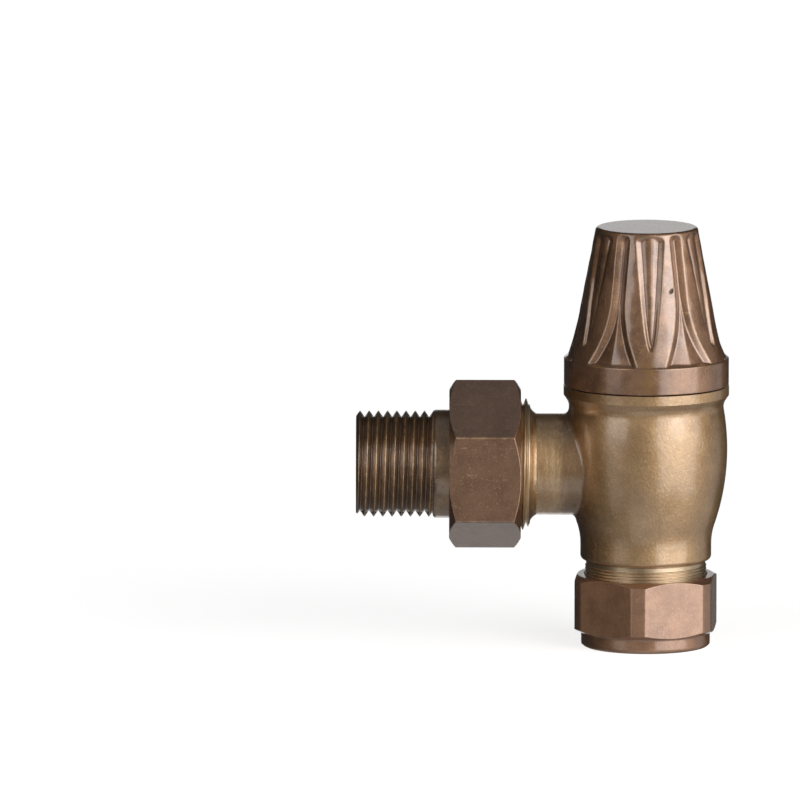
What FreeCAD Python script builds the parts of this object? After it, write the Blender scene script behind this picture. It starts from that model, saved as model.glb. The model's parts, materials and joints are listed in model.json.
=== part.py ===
import FreeCAD, Part
import math
import os
import Sketcher

# Manual radiator valve, angle pattern, closed. Millimetres and degrees. The spindle axis is +Z, the
# middle of the pipe inlet's mouth is the origin, and the radiator tail points along -X.
SIZES = {
    # Pipe inlet: compression nut and olive
    "pipe_bore_diameter": 15.2,
    "nut_flats": 27.0,
    "nut_corner_diameter": 29.7,
    "nut_collar_diameter": 25.4,
    "nut_collar_height": 3.0,
    "nut_hex_height": 11.1,
    "nut_turn": -6.0,
    "nut_hole_height": 2.6,
    "inlet_thread_diameter": 24.0,
    "inlet_root_diameter": 22.9,
    "olive_diameter": 18.6,
    "olive_band": 2.3,
    "seat_cone_rim": 0.3,
    # Valve body
    "stub_length": 3.0,
    "body_height": 34.65,
    "skirt_diameter": 25.8,
    "skirt_edge_round": 0.9,
    "skirt_height": 3.1,
    "skirt_blend_rise": 4.4,
    "skirt_blend_reach": 0.8,
    "belly_arc": 46.0,
    "neck_diameter": 30.6,
    "neck_drop": 4.85,
    "neck_arc": 2.6,
    "rim_diameter": 32.6,
    "rim_height": 1.85,
    "rim_underside_rise": 1.1,
    "rim_underside_reach": 0.7,
    "pipe_stop_rise": 2.9,
    "seat_bore_diameter": 11.0,
    "seat_land_diameter": 14.0,
    "seat_drop": 7.5,
    "seat_height": 1.2,
    "chamber_diameter": 20.6,
    # Side arm
    "axis_drop": 15.85,
    "arm_diameter": 20.0,
    "arm_reach": 33.2,
    "arm_fillet": 1.0,
    "union_thread_diameter": 26.44,
    "union_thread_length": 10.2,
    "union_root_diameter": 23.4,
    "union_runout": 1.4,
    "union_runout_arc": 2.6,
    "waterway_diameter": 13.0,
    # Union nut, washer and radiator tail
    "union_flats": 29.4,
    "union_length": 14.1,
    "union_turn": 26.2,
    "union_lip": 2.5,
    "union_washer_thickness": 1.2,
    "union_washer_diameter": 23.6,
    "tail_flange_diameter": 24.0,
    "tail_flange_thickness": 1.8,
    "tail_shank_diameter": 21.4,
    "tail_shank_length": 5.6,
    "tail_thread_diameter": 20.955,
    "tail_thread_length": 15.3,
    "tail_thread_turns": 8,
    "tail_thread_depth": 1.16,
    "tail_bore_diameter": 12.2,
    "tail_key_flats": 12.4,
    "tail_key_depth": 9.0,
    # Bonnet and gland
    "bonnet_thread_diameter": 22.0,
    "bonnet_thread_length": 8.0,
    "bonnet_washer_thickness": 0.8,
    "bonnet_washer_diameter": 25.0,
    "bonnet_flange_diameter": 25.4,
    "bonnet_flange_thickness": 1.2,
    "bonnet_flats": 21.0,
    "bonnet_hex_height": 3.0,
    "bonnet_neck_diameter": 14.0,
    "bonnet_neck_height": 6.0,
    "stem_guide_length": 3.5,
    "o_ring_section": 1.5,
    "packing_diameter": 10.8,
    "packing_height": 2.9,
    "gland_washer_thickness": 0.8,
    "gland_flats": 17.0,
    "gland_height": 6.8,
    "gland_lid": 1.7,
    # Spindle, jumper and seat washer
    "spindle_thread_diameter": 10.0,
    "spindle_thread_length": 10.3,
    "spindle_stop_diameter": 12.4,
    "spindle_stop_height": 2.0,
    "spindle_cup_diameter": 9.2,
    "stem_diameter": 7.0,
    "lift_room": 4.8,
    "drive_flats": 5.4,
    "drive_length": 9.0,
    "jumper_diameter": 17.2,
    "jumper_thickness": 2.0,
    "jumper_skirt": 1.2,
    "jumper_skirt_wall": 0.7,
    "jumper_pin_diameter": 6.0,
    "jumper_pin_length": 5.0,
    "clip_wire": 0.8,
    "clip_height": 3.2,
    "seat_washer_thickness": 2.5,
    "washer_stud_diameter": 4.0,
    "washer_nut_flats": 7.0,
    "washer_nut_height": 2.4,
    # Knob
    "knob_gap": 0.2,
    "knob_turn": 3.0,
    "knob_inset": 0.05,
    "knob_height": 31.2,
    "knob_band_height": 5.35,
    "knob_band_edge": 0.2,
    "knob_flare_height": 8.6,
    "knob_flare_arc": 41.0,
    "knob_waist_diameter": 26.6,
    "knob_top_diameter": 20.3,
    "knob_top_round": 0.7,
    "knob_mouth_diameter": 26.8,
    "knob_mouth_height": 4.8,
    "knob_bore_diameter": 21.2,
    "knob_bore_height": 13.8,
    "petal_count": 6,
    "petal_depth": 0.9,
    "petal_bevel": 1.3,
    "petal_gap_foot": 5.6,
    "petal_gap_waist": 1.4,
    "petal_waist_height": 18.9,
    "petal_end_height": 30.4,
    "petal_end_run": 1.6,
    "sepal_height": 0.55,
    "flute_tip_height": 8.6,
    "flute_tip_run": 1.2,
    "flute_tip_width": 0.8,
    "channel_end_floor": 0.08,
    "flute_width": 2.9,
    "flute_wall": 1.1,
    "flute_depth": 0.6,
    "flute_rib": 0.35,
    "grub_diameter": 4.0,
    "grub_length": 6.0,
    "grub_height": 19.0,
    "grub_key_flats": 2.0,
    "grub_key_depth": 2.0,
    # Clearances between pieces
    "thread_clearance": 0.1,
    "running_clearance": 0.05,
    "seating_clearance": 0.05,
    "cone_clearance": 0.1,
    "loose_clearance": 0.3,
    # Small edges
    "edge_break": 0.4,
    "thread_lead_in": 0.8,
    "root_overlap": 0.4,
}
ROOT_3 = math.sqrt(3)
CHAMFER_SLOPE = 1 / ROOT_3
OUTSIDE = 2.0
NEAR = 0.001
EDGE_SAMPLES = 9
RING_SIDES = 10
GAP_SHARES = (0.0, 0.12, 0.25, 0.4, 0.56, 0.76, 1.0)

Vector = FreeCAD.Vector
doc = FreeCAD.newDocument("manual_radiator_valve")
sheet = doc.addObject("Spreadsheet::Sheet", "Sizes")
for row, (name, number) in enumerate(SIZES.items(), start=1):
    sheet.set(f"A{row}", name)
    sheet.set(f"B{row}", str(number))
    sheet.setAlias(f"B{row}", name)
doc.recompute()


class Size:
    """A size as a number for drawing and as the expression that binds it to the sheet."""

    def __init__(self, value, text):
        self.value = value
        self.text = text

    def __add__(self, other):
        other = as_size(other)
        return Size(self.value + other.value, f"({self.text} + {other.text})")

    def __sub__(self, other):
        other = as_size(other)
        return Size(self.value - other.value, f"({self.text} - {other.text})")

    def __mul__(self, other):
        other = as_size(other)
        return Size(self.value * other.value, f"({self.text} * {other.text})")

    def __truediv__(self, other):
        other = as_size(other)
        return Size(self.value / other.value, f"({self.text} / {other.text})")

    def __neg__(self):
        return Size(-self.value, f"(0 - {self.text})")

    def root(self):
        return Size(math.sqrt(self.value), f"sqrt({self.text})")


def as_size(value):
    return value if isinstance(value, Size) else Size(value, repr(float(value)))


def size(name):
    return Size(sheet.get(name), f"Sizes.{name}")


def half(name):
    return size(name) / 2


# Document objects: bodies, sketches and features

def new_body(label):
    body = doc.addObject("PartDesign::Body", label)
    body.Label = label
    return body


def plane_of(body, role):
    return next(part for part in body.Origin.OriginFeatures if part.Role == role)


def outline(body, name, role, points, arcs=None, shift_y=None, level=None, turn=None):
    """A closed sketch through points, each a pair of sizes, with arcs {segment: (radius, side)}.

    side is 1 where the arc's centre lies to the left of the way along the outline, and -1 where it
    lies to the right. level lifts the sketch off its plane, shift_y moves it along its own y.
    """
    arcs = arcs or {}
    sketch = body.newObject("Sketcher::SketchObject", f"{body.Label}_{name}")
    sketch.AttachmentSupport = [(plane_of(body, role), "")]
    sketch.MapMode = "FlatFace"
    points = [(as_size(x), as_size(y)) for x, y in points]
    count = len(points)
    ends = []
    for number, (start, end) in enumerate(zip(points, points[1:] + points[:1])):
        a = Vector(start[0].value, start[1].value, 0)
        b = Vector(end[0].value, end[1].value, 0)
        if number in arcs:
            radius, side = arcs[number]
            ends.append(add_arc(sketch, a, b, as_size(radius), side))
        else:
            sketch.addGeometry(Part.LineSegment(a, b), False)
            ends.append((1, 2))
    for number in range(count):
        after = (number + 1) % count
        sketch.addConstraint(
            Sketcher.Constraint("Coincident", number, ends[number][1], after, ends[after][0])
        )
    for number, point in enumerate(points):
        for kind, coordinate in zip(("DistanceX", "DistanceY"), point):
            place = sketch.addConstraint(
                Sketcher.Constraint(kind, -1, 1, number, ends[number][0], coordinate.value)
            )
            sketch.setExpression(f"Constraints[{place}]", coordinate.text)
    for number, (radius, side) in arcs.items():
        place = sketch.addConstraint(Sketcher.Constraint("Radius", number, as_size(radius).value))
        sketch.setExpression(f"Constraints[{place}]", as_size(radius).text)
    for axis, offset in (("y", shift_y), ("z", level)):
        if offset is not None:
            sketch.setExpression(f"AttachmentOffset.Base.{axis}", as_size(offset).text)
    if turn is not None:
        sketch.setExpression("AttachmentOffset.Rotation.Angle", as_size(turn).text)
    return sketch


def add_arc(sketch, a, b, radius, side):
    """Draws the short arc from a to b and returns which of its ends comes first."""
    chord = b - a
    left = Vector(-chord.y, chord.x, 0).normalize()
    reach = math.sqrt(radius.value**2 - (chord.Length / 2) ** 2)
    centre = (a + b) * 0.5 + left * reach * side
    first, last = (a, b) if side > 0 else (b, a)
    angles = [math.atan2(p.y - centre.y, p.x - centre.x) for p in (first, last)]
    circle = Part.Circle(centre, Vector(0, 0, 1), radius.value)
    sketch.addGeometry(Part.ArcOfCircle(circle, *angles), False)
    return (1, 2) if side > 0 else (2, 1)


def turn_feature(body, kind, name, sketch, axis="V_Axis"):
    feature = body.newObject(kind, f"{body.Label}_{name}_feature")
    feature.Profile = sketch
    feature.ReferenceAxis = (sketch, [axis])
    feature.Angle = 360
    doc.recompute()
    return feature


def revolve(body, name, points, arcs=None):
    """Adds a turned form: points are (radius, height) pairs about the body's own z axis."""
    return turn_feature(body, "PartDesign::Revolution", name, outline(body, name, "XZ_Plane", points, arcs))


def bore(body, name, points, arcs=None):
    """Cuts a turned form out of the body, about its own z axis."""
    before = body.Shape.Volume
    cut = turn_feature(body, "PartDesign::Groove", name, outline(body, name, "XZ_Plane", points, arcs))
    must_cut(body, before, name)
    return cut


def must_cut(body, before, name):
    if body.Shape.Volume >= before - 1e-6:
        raise RuntimeError(f"{body.Label} {name} cut nothing")


def polygon_points(flats, sides):
    """Corners of a square or a hexagon, the hexagon with one corner on -y."""
    if sides == 4:
        reach = flats / 2
        return [(-reach, -reach), (reach, -reach), (reach, reach), (-reach, reach)]
    corner = flats / ROOT_3
    reach = flats / 2
    step = corner / 2
    zero = as_size(0)
    return [(zero, -corner), (reach, -step), (reach, step), (zero, corner), (-reach, step), (-reach, -step)]


def pad(body, name, flats, sides, level, length, turn=None):
    sketch = outline(body, name, "XY_Plane", polygon_points(flats, sides), level=level, turn=turn)
    feature = body.newObject("PartDesign::Pad", f"{body.Label}_{name}_feature")
    feature.Profile = sketch
    feature.setExpression("Length", as_size(length).text)
    doc.recompute()
    return feature


def pocket(body, name, flats, sides, level, depth, upwards, turn=None):
    """A square or hexagonal socket that starts at level and goes up or down by depth."""
    before = body.Shape.Volume
    sketch = outline(body, name, "XY_Plane", polygon_points(flats, sides), level=level, turn=turn)
    feature = body.newObject("PartDesign::Pocket", f"{body.Label}_{name}_feature")
    feature.Profile = sketch
    feature.Reversed = upwards
    feature.setExpression("Length", as_size(depth).text)
    doc.recompute()
    must_cut(body, before, name)
    return feature


def ring(label, inner, outer, low, high):
    """A plain ring or washer about the z axis."""
    body = new_body(label)
    revolve(body, "section", [(inner, low), (outer, low), (outer, high), (inner, high)])
    return body


def hex_envelope(body, name, flats, corner, low, high):
    """Turns a hexagon's ends to 30 degree chamfers and its corners to the corner radius."""
    face = flats / 2
    drop = (corner - face) * CHAMFER_SLOPE
    clear = flats / ROOT_3 + OUTSIDE
    bore(body, name, [
        (face, low), (clear, low), (clear, high), (face, high), (corner, high - drop), (corner, low + drop),
    ])


def on_tail_axis(body):
    """Places a body drawn along +z so that its z runs out along the side arm."""
    body.Placement = FreeCAD.Placement(Vector(0, 0, 0), FreeCAD.Rotation(Vector(0, 1, 0), -90))
    body.setExpression("Placement.Base.z", axis_level.text)


# Levels that several pieces share, measured from the inlet's mouth
nut_height = size("nut_collar_height") + size("nut_hex_height")
body_base = nut_height + size("stub_length")
body_top = body_base + size("body_height")
axis_level = body_top - size("axis_drop")
seat_level = axis_level - size("seat_drop")
pipe_radius = half("pipe_bore_diameter")
inlet_thread = half("inlet_thread_diameter")
olive_radius = half("olive_diameter")
olive_low = size("nut_hole_height") + olive_radius + size("cone_clearance") - pipe_radius
olive_high = olive_low + size("olive_band")
cone_rim = olive_radius + size("cone_clearance") + size("seat_cone_rim")
spigot_low = olive_high - size("seat_cone_rim")

# Distances along the side arm from the spindle axis
washer_far = size("arm_reach") + size("union_washer_thickness")
flange_far = washer_far + size("tail_flange_thickness")
lip_near = flange_far + size("seating_clearance")
union_far = lip_near + size("union_lip")
union_near = union_far - size("union_length")
shank_far = flange_far + size("tail_shank_length")
tail_far = shank_far + size("tail_thread_length")
union_thread = half("union_thread_diameter")

# Levels of the headwork
flange_low = body_top + size("bonnet_washer_thickness")
hex_low = flange_low + size("bonnet_flange_thickness")
neck_low = hex_low + size("bonnet_hex_height")
neck_high = neck_low + size("bonnet_neck_height")
bonnet_low = body_top - size("bonnet_thread_length")
packing_high = neck_high - size("gland_washer_thickness") - size("loose_clearance")
packing_low = packing_high - size("packing_height")
guide_low = packing_low - size("stem_guide_length")
gland_inside = neck_high + size("loose_clearance")
gland_high = gland_inside + size("gland_lid")
gland_low = gland_high - size("gland_height")
stem_radius = half("stem_diameter")

# Levels of the spindle and what hangs under it
washer_low = seat_level + size("seating_clearance")
disc_low = washer_low + size("seat_washer_thickness")
disc_high = disc_low + size("jumper_thickness")
cup_low = disc_high + size("running_clearance")
pin_high = disc_high + size("jumper_pin_length")
cup_floor = pin_high + size("loose_clearance")
stop_high = bonnet_low - size("lift_room")
stop_low = stop_high - size("spindle_stop_height")
spindle_thread_high = stop_high + size("spindle_thread_length")
clip_level = disc_high + size("clip_height")

# Levels of the knob
knob_low = body_top + size("knob_gap")
knob_high = knob_low + size("knob_height")
band_high = knob_low + size("knob_band_height")
waist_level = band_high + size("knob_flare_height")
knob_boss = knob_low + size("knob_bore_height")
drive_low = knob_boss - size("loose_clearance")
drive_high = drive_low + size("drive_length")
socket_high = drive_high + size("loose_clearance")


def make_valve_body():
    body = new_body("valve_body")
    skirt = half("skirt_diameter")
    skirt_high = body_base + size("skirt_height")
    blend_high = skirt_high + size("skirt_blend_rise")
    blend_radius = skirt + size("skirt_blend_reach")
    blend_square = size("skirt_blend_reach") * size("skirt_blend_reach")
    blend_square = blend_square + size("skirt_blend_rise") * size("skirt_blend_rise")
    blend_arc = blend_square / (size("skirt_blend_reach") * 2)
    rim = half("rim_diameter")
    rim_low = body_top - size("rim_height")
    under_rim = (rim - size("rim_underside_reach"), rim_low - size("rim_underside_rise"))
    neck = (half("neck_diameter"), body_top - size("neck_drop"))
    lead = size("thread_lead_in")
    root = half("inlet_root_diameter")
    root_low = nut_height - size("root_overlap")
    edge = size("skirt_edge_round")
    revolve(body, "barrel", [
        (0, spigot_low),
        (inlet_thread - lead, spigot_low),
        (inlet_thread, spigot_low + lead),
        (inlet_thread, root_low),
        (root, root_low),
        (root, body_base),
        (skirt - edge, body_base),
        (skirt, body_base + edge),
        (skirt, skirt_high),
        (blend_radius, blend_high),
        neck,
        under_rim,
        (rim, rim_low),
        (rim, body_top),
        (0, body_top),
    ], {6: (edge, 1), 8: (blend_arc, -1), 9: (size("belly_arc"), 1), 10: (size("neck_arc"), -1)})
    add_side_arm(body)
    fillet_side_arm(body)
    hollow_body(body)
    return body


def add_side_arm(body):
    """The arm ends in the union thread, which is at its root where it comes out of the union nut."""
    arm = half("arm_diameter")
    reach = size("arm_reach")
    thread_near = reach - size("union_thread_length")
    root = half("union_root_diameter")
    root_far = union_near + size("root_overlap")
    lead = size("thread_lead_in")
    sketch = outline(body, "arm", "XZ_Plane", [
        (0, 0),
        (0, arm),
        (-(thread_near - size("union_runout")), arm),
        (-thread_near, root),
        (-root_far, root),
        (-root_far, union_thread),
        (-(reach - lead), union_thread),
        (-reach, union_thread - lead),
        (-reach, 0),
    ], {2: (size("union_runout_arc"), -1)}, shift_y=axis_level)
    turn_feature(body, "PartDesign::Revolution", "arm", sketch, "H_Axis")


def fillet_side_arm(body):
    """Rounds the corner all round the arm where it leaves the barrel."""
    arm = sheet.get("arm_diameter") / 2
    level = axis_level.value
    edges = []
    for number, edge in enumerate(body.Shape.Edges, start=1):
        points = edge.discretize(EDGE_SAMPLES)
        on_arm = all(abs(math.hypot(p.y, p.z - level) - arm) < NEAR for p in points)
        spread = max(p.x for p in points) - min(p.x for p in points)
        straight = edge.Curve.TypeId == "Part::GeomLine"
        if on_arm and spread > NEAR and not straight:
            edges.append(f"Edge{number}")
    base = body.Tip
    feature = body.newObject("PartDesign::Fillet", "valve_body_arm_fillet")
    feature.Base = (base, edges)
    feature.setExpression("Radius", size("arm_fillet").text)
    doc.recompute()


def hollow_body(body):
    seat_bore = half("seat_bore_diameter")
    land = half("seat_land_diameter")
    chamber = half("chamber_diameter")
    floor = seat_level - size("seat_height")
    thread = half("bonnet_thread_diameter") + size("thread_clearance")
    thread_low = bonnet_low - size("edge_break")
    stop = body_base + size("pipe_stop_rise")
    bore(body, "inside", [
        (0, spigot_low),
        (cone_rim, spigot_low),
        (pipe_radius, spigot_low + cone_rim - pipe_radius),
        (pipe_radius, stop),
        (seat_bore, stop),
        (seat_bore, seat_level),
        (land, seat_level),
        (land, floor),
        (chamber, floor),
        (chamber, thread_low),
        (thread, thread_low),
        (thread, body_top),
        (0, body_top),
    ])
    before = body.Shape.Volume
    reach = size("arm_reach")
    waterway = half("waterway_diameter")
    inner_end = land
    sketch = outline(body, "waterway", "XZ_Plane", [
        (-reach, 0), (-reach, waterway), (-inner_end, waterway), (-inner_end, 0),
    ], shift_y=axis_level)
    turn_feature(body, "PartDesign::Groove", "waterway", sketch, "H_Axis")
    must_cut(body, before, "waterway")


def make_compression_nut():
    body = new_body("compression_nut")
    collar_high = size("nut_collar_height")
    pad(body, "hexagon", size("nut_flats"), 6, collar_high, size("nut_hex_height"), size("nut_turn"))
    hex_envelope(body, "corners", size("nut_flats"), half("nut_corner_diameter"), collar_high, nut_height)
    collar = half("nut_collar_diameter")
    edge = size("edge_break")
    revolve(body, "collar", [
        (0, 0), (collar - edge, 0), (collar, edge), (collar, collar_high), (0, collar_high),
    ])
    hole_high = size("nut_hole_height")
    floor = hole_high + cone_rim - pipe_radius
    thread = inlet_thread + size("thread_clearance")
    bore(body, "inside", [
        (0, 0),
        (pipe_radius, 0),
        (pipe_radius, hole_high),
        (cone_rim, floor),
        (thread, floor),
        (thread, nut_height),
        (0, nut_height),
    ])
    return body


def make_olive():
    """A barrel-shaped ring that fits between the cone in the nut and the cone in the spigot."""
    body = new_body("olive")
    bite = size("seat_cone_rim")
    taper = olive_radius - pipe_radius - bite
    revolve(body, "section", [
        (pipe_radius, olive_low - taper),
        (pipe_radius + bite, olive_low - taper),
        (olive_radius, olive_low),
        (olive_radius, olive_high),
        (pipe_radius + bite, olive_high + taper),
        (pipe_radius, olive_high + taper),
    ])
    return body


def make_union_nut():
    body = new_body("union_nut")
    flats = size("union_flats")
    pad(body, "hexagon", flats, 6, union_near, size("union_length"), size("union_turn"))
    hex_envelope(body, "corners", flats, flats / ROOT_3, union_near, union_far)
    hole = half("tail_shank_diameter") + size("cone_clearance")
    thread = union_thread + size("thread_clearance")
    bore(body, "inside", [
        (0, union_near),
        (thread, union_near),
        (thread, lip_near),
        (hole, lip_near),
        (hole, union_far),
        (0, union_far),
    ])
    on_tail_axis(body)
    return body


def make_union_washer():
    inner = half("waterway_diameter")
    outer = half("union_washer_diameter")
    body = ring("union_washer", inner, outer, size("arm_reach"), washer_far)
    on_tail_axis(body)
    return body


def make_radiator_tail():
    body = new_body("radiator_tail")
    flange = half("tail_flange_diameter")
    shank = half("tail_shank_diameter")
    thread = half("tail_thread_diameter")
    lead = size("thread_lead_in")
    tail_bore = half("tail_bore_diameter")
    root = thread - size("tail_thread_depth")
    pitch = (tail_far - lead - shank_far) / size("tail_thread_turns")
    grooves = []
    for turn in range(int(sheet.get("tail_thread_turns"))):
        near = shank_far + pitch * turn
        grooves += [(thread, near), (root, near + pitch / 3), (thread, near + pitch * 2 / 3)]
    revolve(body, "outside", [
        (tail_bore, washer_far),
        (flange, washer_far),
        (flange, flange_far),
        (shank, flange_far),
        (shank, shank_far),
        *grooves,
        (thread, tail_far - lead),
        (thread - lead, tail_far),
        (tail_bore, tail_far),
    ])
    pocket(body, "key_socket", size("tail_key_flats"), 6, washer_far, size("tail_key_depth"), True)
    on_tail_axis(body)
    return body


def make_bonnet():
    body = new_body("bonnet")
    flats = size("bonnet_flats")
    pad(body, "hexagon", flats, 6, hex_low, size("bonnet_hex_height"))
    hex_envelope(body, "corners", flats, flats / ROOT_3, hex_low, neck_low)
    thread = half("bonnet_thread_diameter")
    lead = size("thread_lead_in")
    flange = half("bonnet_flange_diameter")
    neck = half("bonnet_neck_diameter")
    revolve(body, "outside", [
        (0, bonnet_low),
        (thread - lead, bonnet_low),
        (thread, bonnet_low + lead),
        (thread, flange_low),
        (flange, flange_low),
        (flange, hex_low),
        (neck, hex_low),
        (neck, neck_high),
        (0, neck_high),
    ])
    spindle_bore = half("spindle_thread_diameter") + size("thread_clearance")
    stem_bore = stem_radius + size("thread_clearance")
    packing = half("packing_diameter")
    bore(body, "inside", [
        (0, bonnet_low),
        (spindle_bore, bonnet_low),
        (spindle_bore, guide_low),
        (stem_bore, guide_low),
        (stem_bore, packing_low),
        (packing, packing_low),
        (packing, neck_high),
        (0, neck_high),
    ])
    middle, reach = o_ring_place()
    groove = reach + size("seating_clearance")
    bore(body, "o_ring_groove", [
        (stem_radius, middle - groove),
        (stem_radius + groove * 2, middle - groove),
        (stem_radius + groove * 2, middle + groove),
        (stem_radius, middle + groove),
    ])
    return body


def o_ring_place():
    return guide_low + size("stem_guide_length") / 2, half("o_ring_section")


def round_ring(label, middle_radius, middle, section):
    """A ring about the z axis with a many-sided section that fits in a round one."""
    body = new_body(label)
    points = []
    for number in range(RING_SIDES):
        angle = 2 * math.pi * number / RING_SIDES
        points.append((middle_radius + section * math.cos(angle), middle + section * math.sin(angle)))
    revolve(body, "section", points)
    return body


def make_stem_o_ring():
    middle, section = o_ring_place()
    return round_ring("stem_o_ring", stem_radius + size("running_clearance") + section, middle, section)


def make_gland_nut():
    """A cap nut on the bonnet's neck with a nose that presses the gland washer down."""
    body = new_body("gland_nut")
    flats = size("gland_flats")
    pad(body, "hexagon", flats, 6, gland_low, size("gland_height"))
    hex_envelope(body, "corners", flats, flats / ROOT_3, gland_low, gland_high)
    thread = half("bonnet_neck_diameter") + size("thread_clearance")
    nose = half("packing_diameter") - size("loose_clearance")
    nose_low = packing_high + size("gland_washer_thickness")
    hole = stem_radius + size("loose_clearance")
    bore(body, "inside", [
        (0, gland_low),
        (thread, gland_low),
        (thread, gland_inside),
        (nose, gland_inside),
        (nose, nose_low),
        (hole, nose_low),
        (hole, gland_high),
        (0, gland_high),
    ])
    return body


def make_spindle():
    body = new_body("spindle")
    cup = half("spindle_cup_diameter")
    stop = half("spindle_stop_diameter")
    thread = half("spindle_thread_diameter")
    pin_hole = half("jumper_pin_diameter") + size("running_clearance")
    edge = size("edge_break")
    revolve(body, "outside", [
        (pin_hole, cup_low),
        (cup, cup_low),
        (cup, stop_low),
        (stop, stop_low),
        (stop, stop_high),
        (thread, stop_high),
        (thread, spindle_thread_high - edge),
        (thread - edge, spindle_thread_high),
        (stem_radius, spindle_thread_high),
        (stem_radius, drive_high - edge),
        (stem_radius - edge, drive_high),
        (0, drive_high),
        (0, cup_floor),
        (pin_hole, cup_floor),
    ])
    clip = half("clip_wire") + size("running_clearance")
    bore(body, "clip_groove", [
        (pin_hole - clip, clip_level - clip),
        (pin_hole + clip, clip_level - clip),
        (pin_hole + clip, clip_level + clip),
        (pin_hole - clip, clip_level + clip),
    ])
    mill_drive(body)
    body.setExpression("Placement.Rotation.Angle", size("knob_turn").text)
    return body


def mill_drive(body):
    """Leaves a square drive by milling four flats off the round stem's upper end."""
    before = body.Shape.Volume
    reach = half("drive_flats")
    clear = stem_radius + OUTSIDE
    sketch = outline(body, "drive_flat", "XY_Plane", [
        (reach, -clear), (clear, -clear), (clear, clear), (reach, clear),
    ], level=drive_low)
    flat = body.newObject("PartDesign::Pocket", "spindle_drive_flat_feature")
    flat.Profile = sketch
    flat.Reversed = True
    flat.setExpression("Length", (size("drive_length") + OUTSIDE).text)
    doc.recompute()
    must_cut(body, before, "drive_flat")
    polar(body, [flat], "drive_flats", 4)


def polar(body, features, name, count):
    """Repeats features about the z axis."""
    pattern = body.newObject("PartDesign::PolarPattern", f"{body.Label}_{name}_pattern")
    pattern.Originals = features
    pattern.Axis = (plane_of(body, "Z_Axis"), [""])
    pattern.Angle = 360
    if isinstance(count, Size):
        pattern.setExpression("Occurrences", count.text)
    else:
        pattern.Occurrences = count
    body.Tip = pattern
    doc.recompute()
    return pattern


def make_jumper():
    """The valve disc: a cup over the seat washer, a stud under it and a pin up into the spindle."""
    body = new_body("jumper")
    disc = half("jumper_diameter")
    cup = disc - size("jumper_skirt_wall")
    pin = half("jumper_pin_diameter")
    stud = half("washer_stud_diameter")
    stud_low = washer_low - size("washer_nut_height")
    skirt_low = disc_low - size("jumper_skirt")
    edge = size("edge_break")
    revolve(body, "outside", [
        (0, stud_low),
        (stud, stud_low),
        (stud, disc_low),
        (cup, disc_low),
        (cup, skirt_low),
        (disc, skirt_low),
        (disc, disc_high),
        (pin, disc_high),
        (pin, pin_high - edge),
        (pin - edge, pin_high),
        (0, pin_high),
    ])
    clip = half("clip_wire") + size("running_clearance")
    bore(body, "clip_groove", [
        (pin - clip, clip_level - clip),
        (pin + clip, clip_level - clip),
        (pin + clip, clip_level + clip),
        (pin - clip, clip_level + clip),
    ])
    return body


def make_jumper_clip():
    return round_ring("jumper_clip", half("jumper_pin_diameter"), clip_level, half("clip_wire"))


def make_washer_nut():
    body = new_body("washer_nut")
    flats = size("washer_nut_flats")
    low = washer_low - size("washer_nut_height")
    pad(body, "hexagon", flats, 6, low, size("washer_nut_height"))
    hex_envelope(body, "corners", flats, flats / ROOT_3, low, washer_low)
    hole = half("washer_stud_diameter") + size("running_clearance")
    bore(body, "inside", [(0, low), (hole, low), (hole, washer_low), (0, washer_low)])
    return body


def make_seat_washer():
    cup = half("jumper_diameter") - size("jumper_skirt_wall") - size("running_clearance")
    return ring(
        "seat_washer", half("washer_stud_diameter") + size("running_clearance"), cup, washer_low, disc_low
    )


# The knob's bell: a plain band, a flare and a straight taper up to a rounded edge
band_radius = half("rim_diameter") - size("knob_inset")
foot_radius = band_radius - size("knob_band_edge")
waist_radius = half("knob_waist_diameter")
top_radius = half("knob_top_diameter")
taper_high = knob_high - size("knob_top_round")


def flare_centre():
    """Middle of the flare's arc, outside the bell, from the arc's two ends and its radius."""
    across = waist_radius - foot_radius
    rise = waist_level - band_high
    chord_square = across * across + rise * rise
    chord = chord_square.root()
    arc = size("knob_flare_arc")
    reach = (arc * arc - chord_square / 4).root()
    radius = (foot_radius + waist_radius) / 2 + reach * rise / chord
    level = (band_high + waist_level) / 2 - reach * across / chord
    return radius, level


def bell_radius(level):
    """The bell's radius at a level above the band."""
    if level.value >= waist_level.value:
        share = (level - waist_level) / (taper_high - waist_level)
        return waist_radius - (waist_radius - top_radius) * share
    centre_radius, centre_level = flare_centre()
    arc = size("knob_flare_arc")
    above = level - centre_level
    return centre_radius - (arc * arc - above * above).root()


def channel_section(body, name, turn, level, width, floor, depth, crest, lift):
    """One level of a channel cut into the bell, seen from above, with x pointing out of the bell.

    width is half the channel's mouth, floor half the distance between its two groove bottoms, depth
    how deep these lie, crest how deep the ridge between them lies. lift moves it all out of the bell.
    """
    bell = bell_radius(level)
    mouth = (bell * bell - width * width).root() + lift
    bottom = (bell * bell - floor * floor).root() - depth + lift
    outer = mouth + (mouth - bottom) / 2
    side = width + (width - floor) / 2
    far = bell + OUTSIDE + lift
    return outline(body, name, "XY_Plane", [
        (far, -side), (outer, -side), (bottom, -floor), (bell - crest + lift, 0),
        (bottom, floor), (outer, side), (far, side),
    ], level=level, turn=turn)


def channel(body, name, turn, sections):
    """Cuts a lofted channel through the sections and repeats it once for each petal."""
    before = body.Shape.Volume
    sketches = [
        channel_section(body, f"{name}_{number}", turn, *section) for number, section in enumerate(sections)
    ]
    loft = body.newObject("PartDesign::SubtractiveLoft", f"knob_{name}_loft")
    loft.Profile = sketches[0]
    loft.Sections = sketches[1:]
    loft.Ruled = True
    doc.recompute()
    must_cut(body, before, name)
    polar(body, [loft], name, size("petal_count"))


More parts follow.
